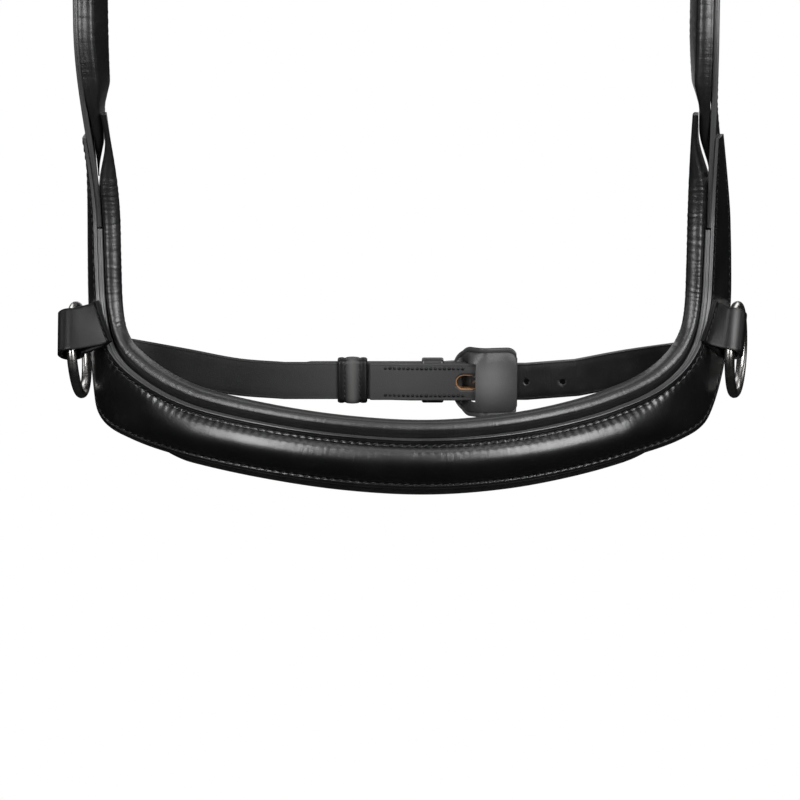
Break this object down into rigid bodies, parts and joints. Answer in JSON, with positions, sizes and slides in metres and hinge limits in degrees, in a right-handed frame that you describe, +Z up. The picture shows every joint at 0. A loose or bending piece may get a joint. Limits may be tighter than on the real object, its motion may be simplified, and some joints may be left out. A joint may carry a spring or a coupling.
{
  "type": "bitless bridle",
  "caption": "Bitless bridle with a padded leather noseband, cheek straps, buckled chin strap, browband, padded headpiece and a steel rein ring on each side.",
  "frame": {"origin": "under the middle of the headpiece, on the underside of its pad, where the bridle hangs", "axes": "+Z up; -Y to the front of the noseband; +X to the right, seen from the front"},
  "size_m": [0.3409, 0.1438, 0.4972],
  "materials": {
    "black_leather": "smooth, semi-gloss",
    "lining_leather": "soft, satin",
    "filler_foam": "matt",
    "polished_steel": "polished"
  },
  "bodies": {
    "bridle": {"noseband_face": "black_leather", "swell_filler": "filler_foam", "noseband_backing": "black_leather", "noseband_lining": "lining_leather", "left_chape": "black_leather", "left_cheek_strap": "black_leather", "left_cheek_pad": "lining_leather", "left_fixed_keeper": "black_leather", "right_chape": "black_leather", "right_cheek_strap": "black_leather", "right_cheek_pad": "lining_leather", "right_fixed_keeper": "black_leather", "headpiece": "black_leather", "crown_pad": "lining_leather", "chin_buckle_strap": "black_leather", "chin_billet": "black_leather", "chin_fixed_keeper": "black_leather", "buckle_guard": "black_leather"},
    "left_ring": {"left_rein_ring": "polished_steel"},
    "right_ring": {"right_rein_ring": "polished_steel"},
    "chin_frame": {"chin_buckle_frame": "polished_steel"},
    "chin_tongue": {"chin_buckle_tongue": "polished_steel"},
    "left_frame": {"left_buckle_frame": "polished_steel"},
    "left_tongue": {"left_buckle_tongue": "polished_steel"},
    "right_frame": {"right_buckle_frame": "polished_steel"},
    "right_tongue": {"right_buckle_tongue": "polished_steel"},
    "chin_keeper": {"chin_running_keeper": "black_leather"},
    "left_keeper": {"left_running_keeper": "black_leather"},
    "right_keeper": {"right_running_keeper": "black_leather"},
    "browband": {"browband": "black_leather", "browband_lining": "lining_leather", "left_browband_loop": "black_leather", "right_browband_loop": "black_leather"}
  },
  "joints": [
    {"name": "left_ring_swing", "type": "hinge", "parent": "bridle", "child": "left_ring", "pos_m": [-0.15918, 0.00462, -0.4142], "axis": [-0.0277, 0.5292, 0.848], "range_deg": [-2, 72]},
    {"name": "right_ring_swing", "type": "hinge", "parent": "bridle", "child": "right_ring", "pos_m": [0.16287, 0.00646, -0.4142], "axis": [-0.1282, -0.5142, -0.848], "range_deg": [-2, 64]},
    {"name": "chin_frame_hinge", "type": "hinge", "parent": "bridle", "child": "chin_frame", "pos_m": [0.0408, 0.06, -0.447], "axis": [0, 0, 1], "range_deg": [0, 2]},
    {"name": "chin_tongue_hinge", "type": "hinge", "parent": "chin_frame", "child": "chin_tongue", "pos_m": [0.0408, 0.06, -0.447], "axis": [0, 0, 1], "range_deg": [0, 3]},
    {"name": "left_frame_hinge", "type": "hinge", "parent": "bridle", "child": "left_frame", "pos_m": [-0.14862, -0.00059, -0.156], "axis": [-0.2419, -0.9703, 0], "range_deg": [0, 2]},
    {"name": "left_tongue_hinge", "type": "hinge", "parent": "left_frame", "child": "left_tongue", "pos_m": [-0.14862, -0.00059, -0.156], "axis": [-0.2419, -0.9703, 0], "range_deg": [0, 3]},
    {"name": "right_frame_hinge", "type": "hinge", "parent": "bridle", "child": "right_frame", "pos_m": [0.14856, -0.00021, -0.156], "axis": [-0.0872, 0.9962, 0], "range_deg": [0, 2]},
    {"name": "right_tongue_hinge", "type": "hinge", "parent": "right_frame", "child": "right_tongue", "pos_m": [0.14856, -0.00021, -0.156], "axis": [-0.0872, 0.9962, 0], "range_deg": [0, 3]},
    {"name": "chin_keeper_slide", "type": "slide", "parent": "bridle", "child": "chin_keeper", "axis": [1, 0, 0], "range_m": [-0.018, 0]},
    {"name": "left_keeper_slide", "type": "slide", "parent": "bridle", "child": "left_keeper", "axis": [0, 0, 1], "range_m": [-0.009, 0.013]},
    {"name": "right_keeper_slide", "type": "slide", "parent": "bridle", "child": "right_keeper", "axis": [0, 0, 1], "range_m": [-0.009, 0.013]},
    {"name": "browband_slide", "type": "slide", "parent": "bridle", "child": "browband", "axis": [0, 0, 1], "range_m": [-0.014, 0.012]}
  ]
}
